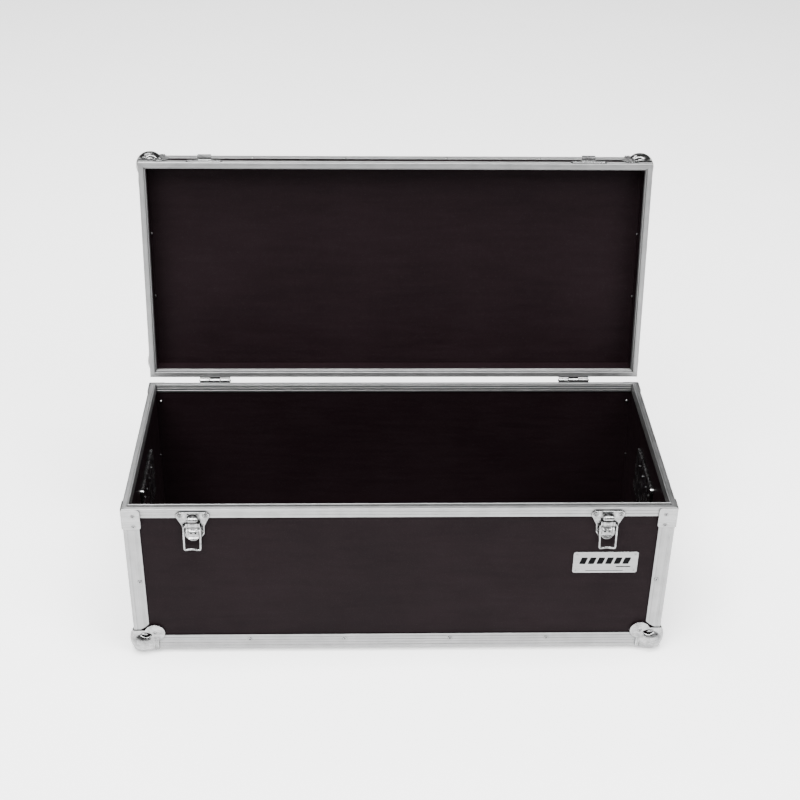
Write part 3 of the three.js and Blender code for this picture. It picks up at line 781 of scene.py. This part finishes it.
def lever():
    """The hand lever, which turns on the plate's pin and carries the bail."""
    half = [(3, -11.8, 0), (6.6, -11.8, 1), (6.6, -23.6, 1), (12.6, -26, 2), (12.6, -47, 4), (11, -57, 6),
            (4, -61.4, 4), (1, -61.5, 0)]
    outline = mirrored(half)

    def front(x, z):
        """The outer surface: a barrel over the pin, a dome, a deep crease, a pad and a turned-out lip."""
        barrel = -8.6 - np.sqrt(np.maximum(4.8 ** 2 - (z - LEVER_Z) ** 2, 0))
        line = np.interp(z, [-62, -58.5, -55.5, -52, -46, -42, -38.6, -36.4, -33, -24, -22.4, -20],
                         [-11.6, -10.4, -7.6, -7.2, -8.2, -9.4, -6.0, -6.0, -9.4, -10.2, -7.0, -9.6])
        dome = 1.9 * np.exp(-(x / 6.6) ** 4 - ((z + 28) / 3.8) ** 2)
        pad = 1.4 * np.exp(-(x / 8.2) ** 4 - ((z + 42) / 2.4) ** 2)
        groove = 0.8 * np.exp(-((np.abs(x) - 9.3) / 0.9) ** 2) * (z > -52) * (z < -20)
        return np.where(z > -21, np.minimum(barrel, line), line - dome - pad + groove)

    def sides(x, y, z):
        """The edges folded back towards the plate, which hold the pin and the bail's ends."""
        wide = np.where(z > -24.8, 6.6, 12.6)
        cheek = np.abs(np.abs(x) - wide + 0.7) - 0.7
        deep = np.maximum(y + 3.2, front(x, z) + 0.3 - y)
        return np.maximum(np.maximum(cheek, deep), np.maximum(z + 12.5, -47 - z))

    slots = [(s * 4.2, -47.4, 1.9) for s in (-1, 1)]
    return pressed(outline, (-14, -15, -64), (14, -1, -9), front=front, thick=1.3, holes=slots, extra=sides,
                   step=0.45, edge=0.6)


def bail(lean):
    """Wire loop hanging from the lever, its cross bar kinked up. It hangs a little to one side."""
    half, length = 15.3, 53
    low = BAIL_Z - length
    top, foot = 0.5 * lean, lean
    corners = [(-9, BAIL_Y, BAIL_Z), (-half + top, BAIL_Y, BAIL_Z), (-half + 0.8 + foot, BAIL_Y, low),
               (foot, BAIL_Y, low + 2.4), (half - 0.8 + foot, BAIL_Y, low), (half + top, BAIL_Y, BAIL_Z),
               (9, BAIL_Y, BAIL_Z)]
    return wire(corners, 4, 2)


def keeper():
    """The catch on the lid, with z up the lid from the meeting plane."""
    half = [(0, 25, 0), (13.5, 25, 2.5), (17, 17.8, 4), (31, 17, 3), (35, 13, 3), (35, 7, 3), (31, 4, 3),
            (0, 4, 0)]
    outline = rounded(half + [(-x, z, r) for x, z, r in half[-2:0:-1]], steps=5)

    def hook(x, y, z):
        wide = np.abs(x) - 13.5
        shelf = np.maximum(np.abs(z - 16.4) - 1.0, np.maximum(-11.5 - y, y - PLATE_FRONT))
        lip = np.maximum(np.abs(y + 10.7) - 0.8, np.maximum(15.4 - z, z - 22.5))
        return soft_max(soft_min(shelf, lip, 0.8), wide, 1.5)

    return pressed(outline, (-37, -13, 2), (37, 0.5, 27), extra=hook, step=0.5)


def add_latches():
    """Plate, lever and bail on the base and keeper on the lid, for each latch."""
    plate_mesh, lever_mesh, keeper_mesh = latch_plate(), lever(), keeper()
    ears = [(sx * x, PLATE_FRONT + 0.2, z) for sx in (-1, 1) for x, z in PLATE_EARS]
    for (side, x), lean in zip(LATCH_X.items(), (-3.7, 3.6)):
        place = on_side(CASE, "front", BASE_HEIGHT) @ move(x, 0, 0)
        piece(f"latch_plate_{side}_shape", plate_mesh, place, "base", zinc, [f"latch_plate_{side}"], 50)
        rivets = row(rivet_head(2.9, 1.0), ears)
        piece(f"latch_{side}_rivets", rivets, place, "base", rivet_metal)
        piece(f"latch_lever_{side}_shape", lever_mesh, place, f"{side}_latch_lever", zinc,
              [f"latch_lever_{side}"], 50)
        piece(f"latch_bail_{side}_shape", bail(lean), place, f"{side}_latch_bail", zinc,
              [f"latch_bail_{side}"])
        place = on_side(LID, "front") @ move(x, 0, 0)
        piece(f"latch_keeper_{side}_shape", keeper_mesh, place, "lid", zinc,
              [f"latch_keeper_{side}"], 50)
        rivets = row(rivet_head(2.9, 0.9), [(s * 26, PLATE_FRONT + 0.1, 10.5) for s in (-1, 1)])
        piece(f"latch_keeper_{side}_rivets", rivets, place, "lid", rivet_metal)


add_latches()


# ---- hinges: on the back face, with the pin at y below zero --------------------------------------

def hinge_leaf(up, knuckles, with_pin):
    """A leaf that runs up or down from the pin, with knuckles at the (from, to) stretches along it."""
    half = 31
    corners = [(-half, 1.5, 0.5), (half, 1.5, 0.5), (half, 39.5, 5), (-half, 39.5, 5)]
    outline = [(x, up * z) for x, z in rounded(corners, steps=5)]
    parts = [plate(outline, PLATE_FRONT - 0.2, -GAP)]
    for x0, x1 in knuckles:
        parts.append(rod(4.6, x0 + 0.15, x1 - 0.15, -HINGE_SETBACK, 0, 32, 0.5))
        arm = [(-HINGE_SETBACK, up * 1.8), (-GAP, up * 1.8), (-GAP, up * 4.4), (-HINGE_SETBACK, up * 4.5)]
        parts.append(sweep(arm, (x1 - x0) / 2 - 0.15, middle=(x0 + x1) / 2))
    if with_pin:
        parts.append(rod(2.3, -half - 1.5, half + 1.5, -HINGE_SETBACK, 0, 20, 0.9))
    return merge(*parts)


def add_hinges():
    """Two leaves and their rivets at each end of the back."""
    spots = [(x, PLATE_FRONT - 0.1, z) for x in (-22, 0, 22) for z in (14, 30) if x or z == 30]
    for side, sx in ENDS:
        place = on_side(CASE, "back", BASE_HEIGHT) @ move(-sx * HINGE_X, 0, 0)
        leaf = hinge_leaf(-1, [(-31, -11), (11, 31)], True)
        piece(f"hinge_base_leaf_{side}_shape", leaf, place, "base", zinc, [f"hinge_base_leaf_{side}"])
        heads = row(rivet_head(3.6, 1.1), [(x, y, -z) for x, y, z in spots])
        piece(f"hinge_base_{side}_rivets", heads, place, "base", rivet_metal)
        place = on_side(LID, "back") @ move(-sx * HINGE_X, 0, 0)
        leaf = hinge_leaf(1, [(-10.6, 10.6)], False)
        piece(f"hinge_lid_leaf_{side}_shape", leaf, place, "lid", zinc, [f"hinge_lid_leaf_{side}"])
        heads = row(rivet_head(3.6, 1.1), spots)
        piece(f"hinge_lid_{side}_rivets", heads, place, "lid", rivet_metal)


add_hinges()


# ---- recessed handles: z = 0 is the middle of the dish -------------------------------------------

GRIP_Y, GRIP_PIVOT, GRIP_LOW = 8.5, 30, -20


def dish():
    """A flange round a deep-drawn tray, as loops from the middle of its floor out and back again."""
    front = PANEL_INSET - GAP - SHEET
    floor = DISH_BACK - SHEET
    loops = [(68, 42, 5, floor), (71.4, 45.4, 8, floor - 1), (73.0, 47.0, 8.4, floor - 3.4),
             (73.4, 47.4, 8.4, front + 2.4), (74.2, 48.2, 9, front + 0.8), (76.4, 50.4, 10, front),
             (96.8, 63.8, 11, front), (98, 65, 12, front + 0.7), (98, 65, 12, front + SHEET),
             (76, 50, 6.4, front + SHEET), (75, 49, 6, front + SHEET + 1), (75, 49, 6, DISH_BACK - 1.7),
             (74.5, 48.5, 5.6, DISH_BACK - 0.5), (73.2, 47.2, 5, DISH_BACK)]
    rings = [[(x, y, z) for x, z in rounded_rectangle(hx, hz, r)] for hx, hz, r, y in loops]
    parts = [loft(rings)]
    for sign in (-1, 1):
        x0, x1 = sorted((sign * 65, sign * 74.2))
        arm = rounded([(3.2, 24, 2.5), (DISH_BACK - 0.8, 24), (DISH_BACK - 0.8, 36), (3.2, 36, 2.5)])
        parts.append(sweep(arm, (x1 - x0) / 2, middle=(x0 + x1) / 2))
    return merge(*parts)


def grip():
    """Two meshes: the bent rod with a spring on each stub, and the ribbed sleeve on the rod."""
    stub, arm, sleeve_length = 71, 58, 96
    points = [(-stub, GRIP_PIVOT), (-arm, GRIP_PIVOT), (-arm, GRIP_LOW), (arm, GRIP_LOW), (arm, GRIP_PIVOT),
              (stub, GRIP_PIVOT)]
    steel = wire([(x, GRIP_Y, z) for x, z in points], 6, 3)
    coils = []
    for sign in (-1, 1):
        path = [Vector((sign * (60.5 + 4 * k / 60), GRIP_Y + 3.7 * math.cos(k / 60 * 8 * math.pi),
                        GRIP_PIVOT + 3.7 * math.sin(k / 60 * 8 * math.pi))) for k in range(61)]
        coils.append(tube(path, 0.55, 8))
    angles = [2 * math.pi * k / 28 for k in range(28)]
    rings = []
    for i in range(sleeve_length + 1):
        x = i - sleeve_length // 2
        ribbed = 6 < i < sleeve_length - 6 and i % 6 < 3
        radius = min(6.2 if ribbed else 5.7, 4.2 + 0.7 * min(i, sleeve_length - i))
        rings.append([(x, GRIP_Y + radius * math.cos(a), GRIP_LOW + radius * math.sin(a)) for a in angles])
    return merge(steel, *coils), loft(rings)


def add_handles():
    """A dish, its rivets, a rod and a sleeve on each side."""
    dish_mesh = dish()
    steel, sleeve = grip()
    flange = [(x, PANEL_INSET - GAP - SHEET, z) for x in (-87, 0, 87) for z in (-56, 56)]
    flange += [(x, PANEL_INSET - GAP - SHEET, 0) for x in (-87, 87)]
    for side in ("left", "right"):
        place = on_side(CASE, side, DISH_HEIGHT)
        piece(f"handle_dish_{side}_shape", dish_mesh, place, "base", zinc, [f"handle_dish_{side}"])
        heads = row(rivet_head(3.4, 1.0), flange)
        piece(f"handle_{side}_rivets", heads, place, "base", rivet_metal)
        front = 1 if side == "left" else -1
        back = [(front * x, -DISH_BACK, 30) for x in (-34, 2, 38, 66)]
        through = [(x, -WALL_INNER, -56) for x in (-87, 0, 87)]
        tails = scaled(row(rivet_tail(2.6, 2.8), back + through), 1, -1, 1)
        piece(f"handle_{side}_rivet_tails", tails, place, "base", rivet_metal)
        body = f"{side}_handle"
        piece(f"handle_rod_{side}", steel, place, body, zinc, [f"handle_grip_{side}"])
        piece(f"handle_sleeve_{side}", sleeve, place, body, rubber)


add_handles()


# ---- badge --------------------------------------------------------------------------------------

def add_badge():
    """A plate with a plain pattern of slanted bars, two thin lines and four pins."""
    badge_x, badge_z = 380, 201.5
    place = on_side(CASE, "front", badge_z) @ move(badge_x, 0, 0)
    back = PANEL_INSET - GAP
    face = back - 1.2
    body = plate(rounded_rectangle(60, 24, 5, 6), face, back, 0.3)
    piece("badge_plate_shape", body, place, "base", badge_metal, ["badge_plate"])
    raised = face - 0.12
    marks = []
    for k in range(6):
        x0 = -49 + k * 16
        slant = [(x0, -3.6, 1.6), (x0 + 11.4, -3.6, 1.6), (x0 + 16, 11.4, 1.6), (x0 + 4.6, 11.4, 1.6)]
        marks.append(plate(rounded(slant), raised, face + 0.05, 0.08))
    for x0, x1, z0, z1 in ((20, 47, -10.8, -8.6), (-36, 34, -19.6, -18.4)):
        marks.append(plate(rounded([(x0, z0), (x1, z0), (x1, z1), (x0, z1)], 0.4), raised, face + 0.05, 0.08))
    piece("badge_print", merge(*marks), place, "base", print_black)
    pins = row(rivet_head(2.0, 0.55), [(sx * 54, face, sz * 18.5) for sx in (-1, 1) for sz in (-1, 1)])
    piece("badge_pins", pins, place, "base", rivet_metal)


add_badge()


# ---- floor, light and camera --------------------------------------------------------------------

def stage_floor():
    data = bpy.data.meshes.new("floor")
    data.from_pydata([(-9, -9, 0), (9, -9, 0), (9, 9, 0), (-9, 9, 0)], [], [(0, 1, 2, 3)])
    finish = Finish("pale_floor", Metallic=0.0)
    tone = finish.noise(3, detail=2)
    finish.bump(finish.noise(300, detail=2), 0.00002)
    colour = finish.blend(tone, grey(0.84), grey(0.86))
    finish.set(finish.shader, {"Emission Color": (1, 1, 1, 1), "Emission Strength": 0.8})
    data.materials.append(finish.finish(colour, finish.noise(20, detail=2, low=0.7, high=0.8)))
    made = bpy.data.objects.new("floor", data)
    bpy.context.scene.collection.objects.link(made)


def soft_light(name, place, target, width, height, watts):
    lamp = bpy.data.lights.new(name, "AREA")
    lamp.shape = "RECTANGLE"
    lamp.size, lamp.size_y, lamp.energy = width, height, watts
    made = bpy.data.objects.new(name, lamp)
    made.location = place
    made.rotation_euler = (Vector(target) - Vector(place)).to_track_quat("-Z", "Y").to_euler()
    bpy.context.scene.collection.objects.link(made)


def sky(horizon, zenith):
    """Plain grey all round, palest at the horizon."""
    world = bpy.data.worlds.new("studio")
    bpy.context.scene.world = world
    world.use_nodes = True
    tree = world.node_tree
    direction = tree.nodes.new("ShaderNodeTexCoord").outputs["Generated"]
    height = tree.nodes.new("ShaderNodeSeparateXYZ")
    fade = tree.nodes.new("ShaderNodeMapRange")
    tree.links.new(direction, height.inputs["Vector"])
    tree.links.new(height.outputs["Z"], fade.inputs["Value"])
    for key, value in {"From Min": 0.1, "From Max": 0.24, "To Min": horizon, "To Max": zenith}.items():
        fade.inputs[key].default_value = value
    tree.nodes["Background"].inputs["Color"].default_value = (1, 1, 1, 1)
    tree.links.new(fade.outputs["Result"], tree.nodes["Background"].inputs["Strength"])


def add_camera():
    pitch, yaw, roll = (math.radians(a) for a in (32.475, 2.047, 0.990))
    forward = Vector((math.sin(yaw) * math.cos(pitch), math.cos(yaw) * math.cos(pitch), -math.sin(pitch)))
    level = Vector((math.cos(yaw), -math.sin(yaw), 0))
    upward = level.cross(forward)
    right = level * math.cos(roll) + upward * math.sin(roll)
    up = upward * math.cos(roll) - level * math.sin(roll)
    lens = bpy.data.cameras.new("camera")
    lens.lens, lens.sensor_width = 65.14, 36
    lens.shift_y = 0.0281
    made = bpy.data.objects.new("camera", lens)
    axes = Matrix((right, up, -forward)).transposed().to_4x4()
    made.matrix_world = Matrix.Translation(CASE @ Vector((-0.0794, -2.3255, 1.8495))) @ axes
    bpy.context.scene.collection.objects.link(made)
    bpy.context.scene.camera = made


stage_floor()
sky(0.7, 0.04)
soft_light("key", (-1.6, -2.8, 4.4), (0, 0, 0.2), 3.0, 2.6, 520)
soft_light("fill", (2.6, -2.4, 3.6), (0, 0, 0.2), 2.2, 2.2, 230)
soft_light("top", (0, -0.4, 5.4), (0, 0.8, 0), 5.0, 2.2, 900)
soft_light("back", (-1.6, 3.4, 4.3), (-0.2, 0, 0.3), 2.4, 0.8, 85)
add_camera()
